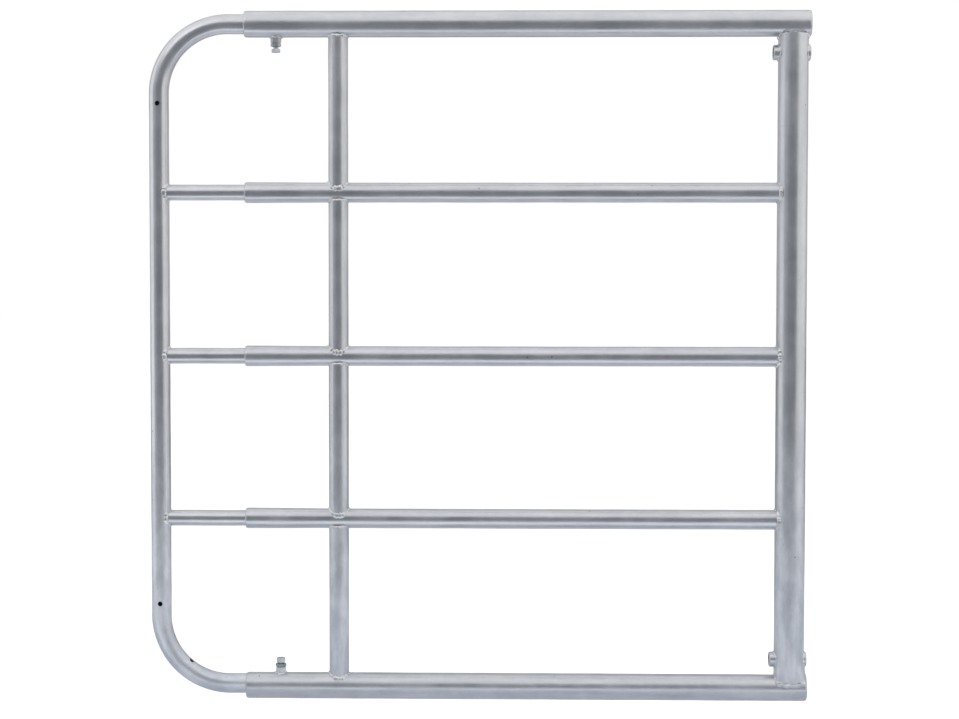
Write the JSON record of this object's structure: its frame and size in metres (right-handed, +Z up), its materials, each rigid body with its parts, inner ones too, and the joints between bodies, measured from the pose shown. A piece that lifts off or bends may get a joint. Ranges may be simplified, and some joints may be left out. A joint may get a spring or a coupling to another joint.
{
  "type": "extendable field gate",
  "caption": "Galvanised tubular field gate whose bent inner frame slides out of the outer frame to set its width, held by clamp screws, hung from two bushes in its hinge upright.",
  "frame": {"origin": "middle of the lower hinge bush's bore, on the hinge upright's axis", "axes": "+X along the rails towards the hinge post, +Y to the back, +Z up"},
  "size_m": [1.05, 0.0484, 1.1],
  "materials": {
    "galvanised_steel": "hot-dip galvanised, satin",
    "weld_bead": "hot-dip galvanised over a rippled weld",
    "zinc_plated_steel": "blue-passivated zinc plate"
  },
  "bodies": {
    "outer_frame": {"top_rail_sleeve": "galvanised_steel", "upper_bar_sleeve": "galvanised_steel", "middle_bar_sleeve": "galvanised_steel", "lower_bar_sleeve": "galvanised_steel", "bottom_rail_sleeve": "galvanised_steel", "hinge_upright": "galvanised_steel", "brace_tube_top": "galvanised_steel", "brace_tube_upper": "galvanised_steel", "brace_tube_lower": "galvanised_steel", "brace_tube_bottom": "galvanised_steel", "upper_hinge_bush": "galvanised_steel", "lower_hinge_bush": "galvanised_steel", "upper_clamp_boss": "galvanised_steel", "lower_clamp_boss": "galvanised_steel", "brace_welds": "weld_bead", "hinge_upright_welds": "weld_bead", "bar_end_welds": "weld_bead", "hinge_bush_welds": "weld_bead", "clamp_boss_welds": "weld_bead"},
    "inner_frame": {"latch_bow": "galvanised_steel", "upper_inner_bar": "galvanised_steel", "middle_inner_bar": "galvanised_steel", "lower_inner_bar": "galvanised_steel", "inner_bar_welds": "weld_bead"},
    "upper_lock_nut": {"upper_lock_nut": "zinc_plated_steel"},
    "upper_clamp_bolt": {"upper_clamp_bolt": "zinc_plated_steel"},
    "lower_lock_nut": {"lower_lock_nut": "zinc_plated_steel"},
    "lower_clamp_bolt": {"lower_clamp_bolt": "zinc_plated_steel"}
  },
  "joints": [
    {"name": "inner_frame_slide", "type": "slide", "parent": "outer_frame", "child": "inner_frame", "axis": [-1, 0, 0], "range_m": [0, 0.65]},
    {"name": "upper_screw_travel", "type": "slide", "parent": "outer_frame", "child": "upper_lock_nut", "axis": [0, 0, -1], "range_m": [0, 0.005]},
    {"name": "upper_screw_turn", "type": "hinge", "parent": "upper_lock_nut", "child": "upper_clamp_bolt", "pos_m": [-0.81965, 0, 1.0116], "axis": [0, 0, -1], "range_deg": [0, 1440]},
    {"name": "lower_screw_travel", "type": "slide", "parent": "outer_frame", "child": "lower_lock_nut", "axis": [0, 0, 1], "range_m": [0, 0.005]},
    {"name": "lower_screw_turn", "type": "hinge", "parent": "lower_lock_nut", "child": "lower_clamp_bolt", "pos_m": [-0.81465, 0, -0.046], "axis": [0, 0, 1], "range_deg": [0, 1440]}
  ],
  "couplings": [
    {"joint": "upper_screw_turn", "follows": "upper_screw_travel", "rad_per_m": 5026.5},
    {"joint": "lower_screw_turn", "follows": "lower_screw_travel", "rad_per_m": 5026.5}
  ]
}
